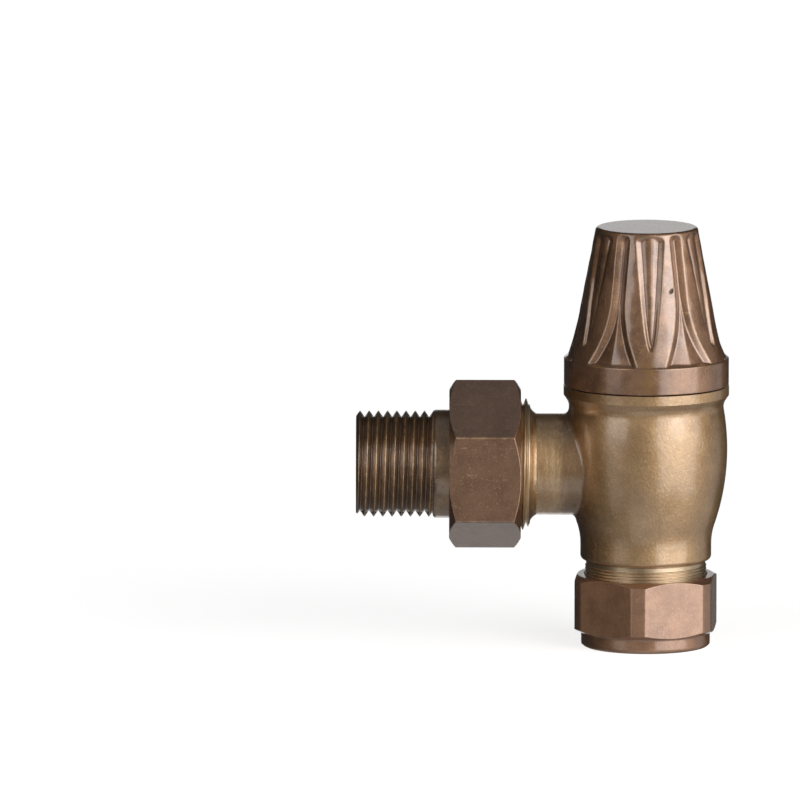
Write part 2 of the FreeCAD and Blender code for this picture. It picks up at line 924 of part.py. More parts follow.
def closed_top(width, floor, depth, crest):
    """The upper end of a channel: it draws in and runs out to a round end below the knob's edge."""
    end = knob_low + size("petal_end_height")
    run = size("petal_end_run")
    point = size("channel_end_floor")
    return [
        (end - run, width, floor, depth, crest, as_size(0)),
        (end - run / 3, width * 0.75, floor * 0.6, depth, crest, depth * 0.3),
        (end, width * 0.25, point, depth, depth, depth),
    ]


def gap_sections():
    """The gap between two petals: wide at the foot, where a small pyramid stands in it."""
    depth = size("petal_depth")
    foot = band_high
    waist = knob_low + size("petal_waist_height")
    spread = size("petal_gap_foot") - size("petal_gap_waist")
    sections = []
    for share in GAP_SHARES:
        level = foot + (waist - foot) * share
        width = size("petal_gap_waist") + spread * (1 - share) ** 2
        floor = width - size("petal_bevel")
        crest = depth - size("sepal_height") * (1 - share) ** 0.5
        sections.append((level, width, floor, depth, crest, as_size(0)))
    return sections + closed_top(width, floor, depth, crest)


def flute_sections():
    """The long recess in a petal, with a rib along its middle, closing to a point at the bottom."""
    depth = size("flute_depth")
    tip = knob_low + size("flute_tip_height")
    low = tip + size("flute_tip_run")
    high = knob_low + size("petal_end_height") - size("petal_end_run")
    tip_width = size("flute_tip_width")
    spread = size("flute_width") - tip_width
    point = size("channel_end_floor")
    sections = [
        (tip, tip_width / 4, point, depth, depth, depth),
        ((tip + low) / 2, tip_width / 2, point, depth, depth, as_size(0)),
    ]
    crest = depth - size("flute_rib")
    for share in (0.0, 0.25, 0.6):
        width = tip_width + spread * share
        floor = width * (size("flute_width") - size("flute_wall")) / size("flute_width")
        sections.append((low + (high - low) * share, width, floor, depth, crest, as_size(0)))
    return sections + closed_top(size("flute_width"), size("flute_width") - size("flute_wall"), depth, crest)


def make_knob():
    body = new_body("knob")
    revolve(body, "bell", [
        (0, knob_low),
        (band_radius, knob_low),
        (band_radius, band_high - size("knob_band_edge")),
        (foot_radius, band_high),
        (waist_radius, waist_level),
        (top_radius, taper_high),
        (top_radius - size("knob_top_round"), knob_high),
        (0, knob_high),
    ], {3: (size("knob_flare_arc"), -1), 5: (size("knob_top_round"), 1)})
    front = as_size(-90)
    channel(body, "gap", front + as_size(180) / size("petal_count"), gap_sections())
    channel(body, "flute", front, flute_sections())
    mouth = half("knob_mouth_diameter")
    inner = half("knob_bore_diameter")
    mouth_high = knob_low + size("knob_mouth_height")
    bore(body, "inside", [
        (0, knob_low),
        (mouth, knob_low),
        (mouth, mouth_high),
        (inner, mouth_high + (mouth - inner) / 2),
        (inner, knob_boss),
        (0, knob_boss),
    ])
    socket = size("drive_flats") + size("running_clearance") * 2
    pocket(body, "socket", socket, 4, knob_boss, socket_high - knob_boss, True)
    bore_grub_hole(body)
    body.setExpression("Placement.Rotation.Angle", size("knob_turn").text)
    return body


def bore_grub_hole(body):
    """A radial hole at the back of the knob for its grub screw."""
    before = body.Shape.Volume
    hole = half("grub_diameter") + size("running_clearance")
    sketch = outline(body, "grub_hole", "YZ_Plane", [
        (0, 0), (band_radius, 0), (band_radius, hole), (0, hole),
    ], shift_y=knob_low + size("grub_height"))
    turn_feature(body, "PartDesign::Groove", "grub_hole", sketch, "H_Axis")
    must_cut(body, before, "grub_hole")


def make_grub_screw():
    """Drawn along z and laid along the hole, with its point on a flat of the spindle."""
    body = new_body("knob_grub_screw")
    radius = half("grub_diameter")
    edge = size("edge_break")
    near = half("drive_flats") + size("seating_clearance")
    far = near + size("grub_length")
    revolve(body, "outside", [
        (0, near), (radius - edge, near), (radius, near + edge), (radius, far), (0, far),
    ])
    depth = size("grub_key_depth")
    pocket(body, "key_socket", size("grub_key_flats"), 6, far, depth, False)
    level = knob_low + size("grub_height")
    turn = FreeCAD.Rotation(Vector(0, 0, 1), sheet.get("knob_turn"))
    body.Placement = FreeCAD.Placement(
        Vector(0, 0, 0), turn.multiply(FreeCAD.Rotation(Vector(1, 0, 0), -90))
    )
    body.setExpression("Placement.Base.z", level.text)
    return body


make_valve_body()
make_compression_nut()
make_olive()
make_union_nut()
make_union_washer()
make_radiator_tail()
make_bonnet()
ring(
    "bonnet_washer",
    half("bonnet_thread_diameter") + size("thread_clearance"),
    half("bonnet_washer_diameter"),
    body_top,
    flange_low,
)
make_stem_o_ring()
ring(
    "gland_packing",
    stem_radius + size("running_clearance"),
    half("packing_diameter") - size("running_clearance"),
    packing_low,
    packing_high,
)
ring(
    "gland_washer",
    stem_radius + size("thread_clearance"),
    half("packing_diameter") - size("running_clearance"),
    packing_high,
    packing_high + size("gland_washer_thickness"),
)
make_gland_nut()
make_spindle()
make_jumper()
make_jumper_clip()
make_seat_washer()
make_washer_nut()
make_knob()
make_grub_screw()

# Check every object before anything is written
doc.recompute()
for item in doc.Objects:
    if "Invalid" in item.State or "Error" in item.State:
        raise RuntimeError(f"{item.Label} failed: {item.State}")
sub_parts = [item for item in doc.Objects if item.TypeId == "PartDesign::Body"]
for item in sub_parts:
    if item.Shape.isNull() or not item.Shape.isValid() or len(item.Shape.Solids) != 1:
        raise RuntimeError(f"{item.Label} is not one valid solid")
os.makedirs("parts", exist_ok=True)
for item in sub_parts:
    item.Shape.exportStep(f"parts/{item.Label}.step")
    print(f"{item.Label}: {item.Shape.Volume:.1f} cubic mm, {len(item.Shape.Faces)} faces")
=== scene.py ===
import json
import math

import bpy
import numpy as np
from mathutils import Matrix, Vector


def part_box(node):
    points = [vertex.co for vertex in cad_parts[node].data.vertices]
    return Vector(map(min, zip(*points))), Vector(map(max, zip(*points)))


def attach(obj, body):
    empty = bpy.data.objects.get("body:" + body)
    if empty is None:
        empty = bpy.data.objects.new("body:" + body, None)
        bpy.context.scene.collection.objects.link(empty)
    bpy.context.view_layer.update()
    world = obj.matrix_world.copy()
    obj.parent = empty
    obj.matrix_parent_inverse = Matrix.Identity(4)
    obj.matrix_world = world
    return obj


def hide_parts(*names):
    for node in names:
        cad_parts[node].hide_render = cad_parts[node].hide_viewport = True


# A manual radiator valve, dressed for one studio picture. Sizes of pieces are in millimetres, as in the
# part's source, and become metres where a mesh is made. Materials, studio and camera use metres.
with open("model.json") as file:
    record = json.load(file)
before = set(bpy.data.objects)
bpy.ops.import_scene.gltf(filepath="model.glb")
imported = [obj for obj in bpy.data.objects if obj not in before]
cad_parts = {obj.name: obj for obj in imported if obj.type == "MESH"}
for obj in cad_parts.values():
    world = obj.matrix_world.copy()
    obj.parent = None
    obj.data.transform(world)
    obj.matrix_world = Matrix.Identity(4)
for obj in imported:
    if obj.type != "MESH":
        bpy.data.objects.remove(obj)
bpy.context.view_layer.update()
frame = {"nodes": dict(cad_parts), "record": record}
MM = 0.001


def node_box(node):
    """A node's lowest and highest corner at rest, in millimetres."""
    return [[round(value / MM, 3) for value in corner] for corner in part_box(node)]


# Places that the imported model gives
knob_box = node_box("knob")
tail_box = node_box("radiator_tail")
union_box = node_box("union_nut")
nut_box = node_box("compression_nut")
AXIS_LEVEL = (tail_box[0][2] + tail_box[1][2]) / 2
KNOB_LOW, KNOB_HIGH = knob_box[0][2], knob_box[1][2]
TAIL_NEAR, TAIL_FAR = -tail_box[1][0], -tail_box[0][0]
UNION_NEAR, UNION_FAR = -union_box[1][0], -union_box[0][0]
NUT_HIGH = nut_box[1][2]

# Knob
KNOB_TURN = math.radians(3.0)
BAND_HIGH = KNOB_LOW + 5.35
BAND_RADIUS = 16.25
BAND_EDGE = 0.2
WAIST_LEVEL = BAND_HIGH + 8.6
WAIST_RADIUS = 13.3
FLARE_ARC = 41.0
TOP_RADIUS = 10.15
TOP_ROUND = 0.7
PETALS = 6
PETAL_END = KNOB_LOW + 30.85
PETAL_END_RUN = 1.5
FRONT = -math.pi / 2
KNOB_COLUMNS = 576
FIELD_LOW = BAND_HIGH - 0.2
FIELD_STEP = 0.18
FIELD_ROWS = 144
GRUB_LEVEL = KNOB_LOW + 19.0
GRUB_HOLE = 2.05
GRUB_FROM, GRUB_TO = 2.7, 20.0
GRUB_COLUMNS = 48

# Columns of points round the other pieces
NUT_COLUMNS = 720
TAIL_COLUMNS = 192
SLEEVE_COLUMNS = 288


def clamp01(values):
    """Values held between 0 and 1."""
    return np.clip(values, 0.0, 1.0)


def ease(values):
    """Smooth step from 0 to 1."""
    share = clamp01(values)
    return share * share * (3 - 2 * share)


def soft_min(a, b, width):
    """The smaller of a and b, with the corner between them rounded over width."""
    return np.minimum(a, b) - width * np.log1p(np.exp(-np.abs(a - b) / width))


def ripple(theta, level, seed, waves, reach):
    """Repeatable unevenness of a casting, mostly within -1.5 to 1.5, closed round the axis."""
    source = np.random.default_rng(seed)
    lean = 0.08
    total = np.zeros(np.broadcast(theta, level).shape)
    for _ in range(waves):
        around = source.integers(1, reach)
        along = source.uniform(-lean, lean) * reach
        total += np.sin(around * theta + along * level + source.uniform(0, 2 * math.pi))
    return total / math.sqrt(waves)


# Meshes turned about z

def turned_mesh(name, rows, columns, shape=None, closed=True):
    """A mesh of rows round the z axis, each row (radius, height, share).

    shape(theta, radius, height, share) gives the final radius of a row's points. A closed mesh joins the
    last row to the first. An open one ends in two points on the axis.
    """
    table = np.array(rows, float)
    theta = np.arange(columns) * (2 * math.pi / columns)
    radius = np.repeat(table[:, :1], columns, 1)
    level = np.repeat(table[:, 1:2], columns, 1)
    if shape is not None:
        radius = shape(theta[None, :], radius, level, table[:, 2:3])
    points = np.stack([radius * np.cos(theta), radius * np.sin(theta), level], -1).reshape(-1, 3)
    index = np.arange(len(table) * columns).reshape(len(table), columns)
    after = np.roll(index, -1, 1)
    upper = np.roll(index, -1, 0) if closed else index[1:]
    upper_after = np.roll(after, -1, 0) if closed else after[1:]
    count = len(upper)
    faces = np.stack([index[:count], after[:count], upper_after, upper], -1).reshape(-1, 4).tolist()
    if not closed:
        first, last = len(points), len(points) + 1
        points = np.vstack([points, [0, 0, table[0, 1]], [0, 0, table[-1, 1]]])
        faces += [(first, b, a) for a, b in zip(index[0], after[0])]
        faces += [(last, a, b) for a, b in zip(index[-1], after[-1])]
    mesh = bpy.data.meshes.new(name)
    mesh.from_pydata((points * MM).tolist(), [], faces)
    mesh.shade_smooth()
    mesh.update()
    return mesh


def spread(points, step):
    """Fills the runs between profile points (radius, height, share) with rows up to step apart."""
    rows = []
    for (r0, z0, s0), (r1, z1, s1) in zip(points, points[1:]):
        parts = max(1, math.ceil(math.hypot(r1 - r0, z1 - z0) / step))
        for number in range(parts):
            t = number / parts
            rows.append((r0 + (r1 - r0) * t, z0 + (z1 - z0) * t, s0 + (s1 - s0) * t))
    rows.append(points[-1])
    return rows


def plain(points):
    """Profile points with share 0, which keep their radius."""
    return [(radius, level, 0.0) for radius, level in points]


def worked(points):
    """Profile points with share 1, which a shape works on."""
    return [(radius, level, 1.0) for radius, level in points]


def add_piece(mesh, body, replaced=None):
    """Puts a mesh into the scene on its body, in the place of a node if one is named."""
    piece = bpy.data.objects.new(mesh.name, mesh)
    bpy.context.scene.collection.objects.link(piece)
    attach(piece, body)
    if replaced is not None:
        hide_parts(replaced)
    return piece


def lay_on_tail_axis(mesh):
    """Lays a mesh drawn along +z on the side arm: its z runs out to -x, and its x points up."""
    points = np.zeros(len(mesh.vertices) * 3)
    mesh.vertices.foreach_get("co", points)
    points = points.reshape(-1, 3)
    laid = np.stack([-points[:, 2], points[:, 1], points[:, 0] + AXIS_LEVEL * MM], -1)
    mesh.vertices.foreach_set("co", laid.ravel())
    mesh.update()
    return mesh


def keep_field(mesh, name, values):
    """Stores one number per vertex, which a material reads by name."""
    layer = mesh.attributes.new(name, "FLOAT", "POINT")
    layer.data.foreach_set("value", np.asarray(values, np.float32))


def vertex_points(mesh):
    """A mesh's points in millimetres."""
    points = np.zeros(len(mesh.vertices) * 3)
    mesh.vertices.foreach_get("co", points)
    return points.reshape(-1, 3) / MM


# Knob: a bell with six petals, each with a ribbed flute, and a small sepal in each gap

def bell_radius(level):
    """The bell's radius: an arc that flares from the waist to the band, and a straight taper above."""
    foot = BAND_RADIUS - BAND_EDGE
    across = WAIST_RADIUS - foot
    rise = WAIST_LEVEL - BAND_HIGH
    chord = math.hypot(across, rise)
    reach = math.sqrt(FLARE_ARC**2 - chord**2 / 4)
    centre_radius = (foot + WAIST_RADIUS) / 2 + reach * rise / chord
    centre_level = (BAND_HIGH + WAIST_LEVEL) / 2 - reach * across / chord
    flare = centre_radius - np.sqrt(np.maximum(FLARE_ARC**2 - (level - centre_level) ** 2, 0))
    narrowing = WAIST_RADIUS - TOP_RADIUS
    run = KNOB_HIGH - TOP_ROUND - WAIST_LEVEL
    taper = WAIST_RADIUS - narrowing * (level - WAIST_LEVEL) / run
    return np.where(level >= WAIST_LEVEL, taper, np.where(level >= BAND_HIGH, flare, foot))


def off_centre(theta, first):
    """Signed angle from the nearest of the six lines that start at the angle first."""
    step = 2 * math.pi / PETALS
    return (theta - first + step / 2) % step - step / 2


def inside_channel(across, width, level):
    """Distance from a channel's edge, which closes in a round arch under the knob's top."""
    arch = PETAL_END_RUN * np.sqrt(clamp01(1 - (across / width) ** 2))
    end = PETAL_END - PETAL_END_RUN + arch
    return np.maximum(np.minimum(width - across, end - level), 0)


def gap_depth(theta, level):
    """The cut between two petals, wide at the foot, where a sepal with a ridge stands in it."""
    width_foot, width_waist, waist_rise, bevel, depth = 5.65, 1.4, 13.55, 1.3, 0.9
    sepal_height, narrowing, least_floor = 0.5, 2.1, 0.05
    share = clamp01((level - BAND_HIGH) / waist_rise)
    across = np.abs(off_centre(theta, FRONT + math.pi / PETALS)) * bell_radius(level)
    width = width_waist + (width_foot - width_waist) * (1 - share) ** narrowing
    floor = np.maximum(width - bevel, least_floor)
    ridge = depth - sepal_height * np.sqrt(1 - share) * clamp01(1 - across / floor)
    cut = np.minimum(inside_channel(across, width, level) * depth / bevel, ridge)
    return np.where(level >= BAND_HIGH, cut, 0.0)


def flute_depth(theta, level):
    """The recess along a petal: it opens from a point like the mouth of a bell and holds a low rib."""
    tip, mouth = KNOB_LOW + 8.6, KNOB_LOW + 29.6
    width_high, depth, rib_height = 2.9, 0.62, 0.36
    opening, wall_share, widest_wall, least_width = 0.52, 0.42, 1.1, 1e-6
    across = np.abs(off_centre(theta, FRONT)) * bell_radius(level)
    width = np.maximum(width_high * clamp01((level - tip) / (mouth - tip)) ** opening, least_width)
    wall = np.minimum(wall_share * width, widest_wall)
    floor = width - wall
    rib = depth - rib_height * (1 - clamp01(across / floor) ** 2) * clamp01(width / width_high)
    cut = np.minimum(inside_channel(across, width, level) / wall * depth, rib)
    return np.where(level > tip, cut, 0.0)


def front_offset(theta, level, degrees):
    """Distance along the bell from the line that lies so many degrees to the right of the front."""
    angle = theta - FRONT - math.radians(degrees)
    return (angle - 2 * math.pi * np.round(angle / (2 * math.pi))) * bell_radius(level)


def pit_depth(theta, level):
    """One small slanted flaw in the casting."""
    height, slant, side = KNOB_LOW + 20.0, math.radians(38), 20.3
    depth, half_length, half_width = 0.4, 0.5, 0.19
    x = front_offset(theta, level, side)
    z = level - height
    along = x * math.cos(slant) + z * math.sin(slant)
    across = z * math.cos(slant) - x * math.sin(slant)
    return depth * np.exp(-((along / half_length) ** 2) - (across / half_width) ** 2)


def blurred(field, times):
    """Spreads each value over its neighbours, round the axis and along it."""
    for _ in range(times):
        field = (np.roll(field, 1, 1) + 2 * field + np.roll(field, -1, 1)) / 4
        padded = np.pad(field, ((1, 1), (0, 0)), "edge")
        field = (padded[:-2] + 2 * field + padded[2:]) / 4
    return field


class KnobFields:
    """The knob's relief and its wear on a grid of angle and level."""

    UNEVEN = {"seed": 7, "waves": 14, "reach": 20}
    UNEVEN_DEPTH = 0.02
    WIDE_BLUR = 10
    # The last is the pit's depth at which its painted shade is full.
    RAISED_FULL, SUNK_FULL, PIT_FULL = 0.22, 0.3, 0.25

    def __init__(self):
        self.theta = np.arange(KNOB_COLUMNS) * (2 * math.pi / KNOB_COLUMNS)
        self.level = FIELD_LOW + FIELD_STEP * np.arange(FIELD_ROWS)
        theta, level = self.theta[None, :], self.level[:, None]
        relief = np.maximum(gap_depth(theta, level), flute_depth(theta, level))
        uneven = ripple(theta, level, **self.UNEVEN) * self.UNEVEN_DEPTH
        pit = pit_depth(theta, level)
        self.depth = blurred(relief, 1) + pit + uneven
        wide = blurred(relief, self.WIDE_BLUR)
        self.raised = blurred(clamp01((wide - relief) / self.RAISED_FULL), 1)
        self.sunk = blurred(clamp01((relief - wide) / self.SUNK_FULL), 2)
        # The field pit paints the small pit near black: painted shade in the hole.
        self.pit = clamp01(pit / self.PIT_FULL)

    def sample(self, field, theta, level):
        """A field's values at any angles and levels, 0 above and below the grid."""
        column = (theta % (2 * math.pi)) / (2 * math.pi) * KNOB_COLUMNS
        row = np.clip((level - FIELD_LOW) / FIELD_STEP, 0, FIELD_ROWS - 1.001)
        c0, r0 = np.floor(column).astype(int) % KNOB_COLUMNS, np.floor(row).astype(int)
        c1, r1 = (c0 + 1) % KNOB_COLUMNS, r0 + 1
        u, v = column - np.floor(column), row - r0
        low = field[r0, c0] * (1 - u) + field[r0, c1] * u
        high = field[r1, c0] * (1 - u) + field[r1, c1] * u
        inside = (level >= FIELD_LOW) & (level <= FIELD_LOW + FIELD_STEP * (FIELD_ROWS - 1))
        return np.where(inside, low * (1 - v) + high * v, 0.0)


def quarter(centre_radius, centre_level, size, start, stop, parts):
    """Points on a small arc in the profile, angles in degrees from the outward direction."""
    points = []
    for number in range(parts + 1):
        angle = math.radians(start + (stop - start) * number / parts)
        points.append((centre_radius + size * math.cos(angle), centre_level + size * math.sin(angle)))
    return points


def make_knob():
    """The bell, from the boss inside it over the band and the petals to the middle of its top."""
    fields = KnobFields()
    top_flat = TOP_RADIUS - TOP_ROUND
    taper_high = KNOB_HIGH - TOP_ROUND
    boss, boss_middle, bore, mouth = KNOB_LOW + 13.8, 0.5, 10.6, 13.4
    mouth_high = KNOB_LOW + 4.8
    cone_high = mouth_high + (mouth - bore) / 2
    edge_centre = BAND_RADIUS - BAND_EDGE
    inside_step, band_step, top_step = 1.2, 0.5, 0.8
    edge_parts, rim_parts, relief_parts = 3, 10, 6
    rows = spread(plain([
        (boss_middle, boss), (bore, boss), (bore, cone_high), (mouth, mouth_high), (mouth, KNOB_LOW),
        (edge_centre - 0.1, KNOB_LOW),
    ]), inside_step)
    rows += plain(quarter(edge_centre, KNOB_LOW + BAND_EDGE, BAND_EDGE, -70, 0, edge_parts))
    rows += spread(plain([(BAND_RADIUS, KNOB_LOW + 0.5), (BAND_RADIUS, BAND_HIGH - 0.45)]), band_step)
    rows += plain(quarter(edge_centre, BAND_HIGH - 0.25, BAND_EDGE, 0, 60, edge_parts))
    rows += [(float(bell_radius(level)), level, 1.0) for level in fields.level + 0.5 * FIELD_STEP
             if BAND_HIGH - 0.02 < level < taper_high - 0.05]
    rim = quarter(top_flat, taper_high, TOP_ROUND, 0, 90, rim_parts)
    rows += [(*point, max(0.0, 1 - number / relief_parts)) for number, point in enumerate(rim)]
    rows += spread(plain([(top_flat - 0.1, KNOB_HIGH), (0.3, KNOB_HIGH)]), top_step)

    def shape(theta, radius, level, share):
        return radius - share * fields.sample(fields.depth, theta - KNOB_TURN, level)

    mesh = drilled(turned_mesh("knob_blank", rows, KNOB_COLUMNS, shape, closed=False))
    points = vertex_points(mesh)
    theta = np.arctan2(points[:, 1], points[:, 0]) - KNOB_TURN
    level = points[:, 2]
    outside_from = TOP_RADIUS - 1.5
    outside = np.hypot(points[:, 0], points[:, 1]) > outside_from
    for name, field in (("raised", fields.raised), ("sunk", fields.sunk), ("pit", fields.pit)):
        keep_field(mesh, name, np.where(outside, fields.sample(field, theta, level), 0))
    streak_side, streak_width, streak_high, streak_fade = -2.6, 1.35, BAND_HIGH + 5.5, 5.0
    streak = np.exp(-((front_offset(theta, level, streak_side) / streak_width) ** 2))
    keep_field(mesh, "streak", streak * outside * ease((streak_high - level) / streak_fade))
    return add_piece(mesh, "handwheel", "knob")


def drilled(mesh):
    """Drills the grub screw's hole into the back of the knob."""
    body = bpy.data.objects.new("knob_blank", mesh)
    outline = plain([(GRUB_HOLE, GRUB_FROM), (GRUB_HOLE, GRUB_TO)])
    hole = turned_mesh("grub_hole_tool", outline, GRUB_COLUMNS, closed=False)
    tool = bpy.data.objects.new("grub_hole_tool", hole)
    tool.rotation_euler = (FRONT, 0, KNOB_TURN)
    tool.location = (0, 0, GRUB_LEVEL * MM)
    for item in (body, tool):
        bpy.context.scene.collection.objects.link(item)
    cut = body.modifiers.new("grub_hole", "BOOLEAN")
    cut.operation = "DIFFERENCE"
    cut.solver = "EXACT"
    cut.object = tool
    bpy.context.view_layer.update()
    result = bpy.data.meshes.new_from_object(body.evaluated_get(bpy.context.evaluated_depsgraph_get()))
    result.name = "knob_casting"
    for item in (body, tool):
        bpy.data.objects.remove(item)
    for spent in (mesh, hole):
        bpy.data.meshes.remove(spent)
    return result


# Nuts: hexagons whose ends are turned to a chamfer, with soft worn edges

def hex_radius(theta, flats, first_face, softness):
    """Radius of a hexagon at an angle, and how close the angle is to a corner."""
    angles = off_centre(theta, first_face)
    face, corner_reach, widest = flats / 2, 0.12, 1.5
    near = face / np.cos(np.abs(angles))
    other = face / np.cos(np.minimum(math.pi / 3 - np.abs(angles), widest))
    return soft_min(near, other, softness), np.exp(-(((other - near) / corner_reach) ** 2))


def make_nut(name, rows, flats, first_face, edge=0.05):
    """A hexagon nut from its turned section: rows of share 1 are cut back to the six flats."""
    arc_reach, flat_reach = 0.09, 0.35

    def shape(theta, radius, level, share):
        flat, _ = hex_radius(theta, flats, first_face, edge)
        return np.where(share > 0.5, soft_min(radius, flat, edge), radius)

    mesh = turned_mesh(name, rows, NUT_COLUMNS, shape)
    points = vertex_points(mesh)
    radius = np.hypot(points[:, 0], points[:, 1])
    theta = np.arctan2(points[:, 1], points[:, 0])
    flat, corner = hex_radius(theta, flats, first_face, edge)
    turned = np.repeat(np.array(rows)[:, 0], NUT_COLUMNS)
    share = np.repeat(np.array(rows)[:, 2], NUT_COLUMNS)
    arc = np.exp(-(((turned - flat) / arc_reach) ** 2))
    on_flat = radius > flat - flat_reach
    keep_field(mesh, "raised", share * np.maximum(arc, corner * on_flat))
    return mesh


def hex_rows(flats, corner, low, high):
    """Turned outline of a hexagon between two 30 degree chamfers."""
    face = flats / 2 - 0.02
    drop = (corner - face) / math.sqrt(3)
    fine, coarse = 0.07, 0.45
    rows = spread(worked([(face, low), (corner, low + drop)]), fine)
    rows += spread(worked([(corner, low + drop + fine), (corner, high - drop - fine)]), coarse)
    rows += spread(worked([(corner, high - drop), (face, high)]), fine)
    return rows


def make_compression_nut():
    """The nut for the pipe: a hexagon with turned corners on a round collar, and a cone inside."""
    flats, corner, turn = 27.0, 14.85, math.radians(-6.0)
    collar, collar_high, edge = 12.7, 3.0, 0.4
    pipe, cone_low, cone_rim, thread = 7.6, 2.6, 9.7, 12.1
    cone_high = cone_low + cone_rim - pipe
    inside_step, end_step = 0.6, 0.3
    rows = spread(plain([
        (thread, NUT_HIGH), (thread, cone_high), (cone_rim, cone_high), (pipe, cone_low), (pipe, 0.0),
        (collar - edge, 0.0), (collar, edge), (collar, collar_high - 0.02),
    ]), inside_step)
    rows += hex_rows(flats, corner, collar_high, NUT_HIGH)
    rows += spread(plain([(flats / 2 - 0.3, NUT_HIGH), (thread + 0.3, NUT_HIGH)]), end_step)
    mesh = make_nut("compression_nut_worn", rows, flats, turn - math.pi / 3)
    return add_piece(mesh, "valve", "compression_nut")


def make_union_nut():
    """The nut on the side arm, with a lip that holds the tail's flange."""
    flats, turn = 29.4, math.radians(26.2)
    lip, hole, thread = UNION_FAR - 2.5, 10.8, 13.32
    face = flats / 2
    inside_step, near_step, far_step = 0.6, 0.3, 0.5
    rows = spread(plain([
        (hole, UNION_FAR), (hole, lip), (thread, lip), (thread, UNION_NEAR + 0.4),
        (thread + 0.3, UNION_NEAR),
    ]), inside_step)
    rows += spread(plain([(thread + 0.5, UNION_NEAR), (face - 0.2, UNION_NEAR)]), near_step)
    rows += hex_rows(flats, flats / math.sqrt(3), UNION_NEAR, UNION_FAR)
    rows += spread(plain([(face - 0.2, UNION_FAR), (hole + 0.25, UNION_FAR)]), far_step)
    mesh = make_nut("union_nut_worn", rows, flats, turn - math.pi / 3)
    return add_piece(lay_on_tail_axis(mesh), "valve", "union_nut")


# Threads: the tail's own thread, and the crests on the two bare roots that the valve body shows

def thread_height(theta, level, pitch, crest_level, flat, starts=1):
    """Height of a thread's flanks from 0 at the root to 1 at the crest, with small flats.

    The crest passes crest_level at angle 0, and advances as the angle falls. With no starts it is a row
    of rings.
    """
    phase = ((level - crest_level) / pitch + starts * theta / (2 * math.pi) + 0.5) % 1.0
    ramp = 1 - np.abs(2 * phase - 1)
    return clamp01((ramp - flat) / (1 - 2 * flat))


def make_radiator_tail():
    """Flange, plain shank and helical thread, with a hexagon inside for a key."""
    flange, shank, thread = 12.0, 10.7, 10.4775
    flange_far = TAIL_NEAR + 1.8
    shank_far = flange_far + 5.6
    turns, depth, lead, hole = 8, 1.16, 0.8, 6.1
    pitch = (TAIL_FAR - lead - shank_far) / turns
    crest_at_top, flat = 43.67, 0.07
    key_flats, key_far = 12.4, TAIL_NEAR + 9.0
    key_edge, plain_step, thread_step, run_out = 0.1, 0.7, 0.1, 0.5
    worn_crest, dark_from, dark_run = 0.3, 0.35, 0.6
    rows = spread(plain([
        (hole, TAIL_FAR), (hole, key_far), (hole + key_edge, key_far - 0.02),
        (hole + key_edge, TAIL_NEAR), (flange, TAIL_NEAR), (flange, flange_far), (shank, flange_far),
        (shank - 0.02, shank_far - 0.2), (shank - 0.2, shank_far - 0.02),
    ]), plain_step)
    rows += spread(worked([
        (thread, shank_far), (thread, TAIL_FAR - lead), (thread - lead, TAIL_FAR - 0.01),
    ]), thread_step)
    rows += plain([(thread - lead - 0.3, TAIL_FAR), (hole + 0.25, TAIL_FAR)])

    def shape(theta, radius, level, share):
        height = thread_height(theta, level, pitch, crest_at_top, flat)
        height = np.maximum(height, 1 - ease((level - shank_far) / run_out))
        key = key_flats / 2 / np.cos(off_centre(theta, 0.0))
        in_key = (np.abs(radius - hole - key_edge) < 0.01) & (level < key_far)
        valley = thread - depth * (1 - height)
        return np.where(share > 0.5, np.minimum(radius, valley), np.where(in_key, key, radius))

    mesh = turned_mesh("radiator_tail_threaded", rows, TAIL_COLUMNS, shape)
    points = vertex_points(mesh)
    radius = np.hypot(points[:, 0], points[:, 1])
    on_thread = (points[:, 2] > shank_far) & (radius > thread - depth - 0.1)
    keep_field(mesh, "raised", on_thread * ease((radius - thread + worn_crest) / worn_crest))
    keep_field(mesh, "sunk", on_thread * ease((thread - dark_from - radius) / dark_run))
    return add_piece(lay_on_tail_axis(mesh), "valve", "radiator_tail")


def thread_sleeve(name, root, crest, low, high, pitch, crest_level, flat, starts, fade_low, bare):
    """A thin sleeve of crests on a thread's root.

    The crests fade in over fade_low at the low end, and fade out before the length bare at the high end.
    """
    skin, under, fade_high, rows_a_turn = 0.02, root - 0.35, 0.4, 14
    rows = [(under, high, 0.0), (under, low, 0.0)]
    rows += spread(worked([(root, low), (root, high)]), pitch / rows_a_turn)

    def shape(theta, radius, level, share):
        rise = thread_height(theta, level, pitch, crest_level, flat, starts)
        fade = ease((level - low) / fade_low) * ease((high - bare - level) / fade_high)
        return radius + share * (skin + (crest - root - skin) * rise * fade)

    return turned_mesh(name, rows, SLEEVE_COLUMNS, shape)


def make_inlet_thread():
    """Fine rings above the compression nut, with a plain lip under the body's skirt."""
    mesh = thread_sleeve(
        "inlet_thread_crests", root=11.74, crest=11.95, low=NUT_HIGH - 0.35, high=NUT_HIGH + 2.8,
        pitch=0.6, crest_level=NUT_HIGH + 1.81, flat=0.15, starts=0, fade_low=0.1, bare=0.55)
    return add_piece(mesh, "valve")


def make_union_thread():
    """The end of the side arm's thread, beside the union nut."""
    mesh = thread_sleeve(
        "union_thread_crests", root=11.7, crest=13.0, low=UNION_NEAR - 1.8, high=UNION_NEAR + 0.38,
        pitch=1.22, crest_level=23.68, flat=0.1, starts=1, fade_low=0.6, bare=0.0)
    return add_piece(lay_on_tail_axis(mesh), "valve")
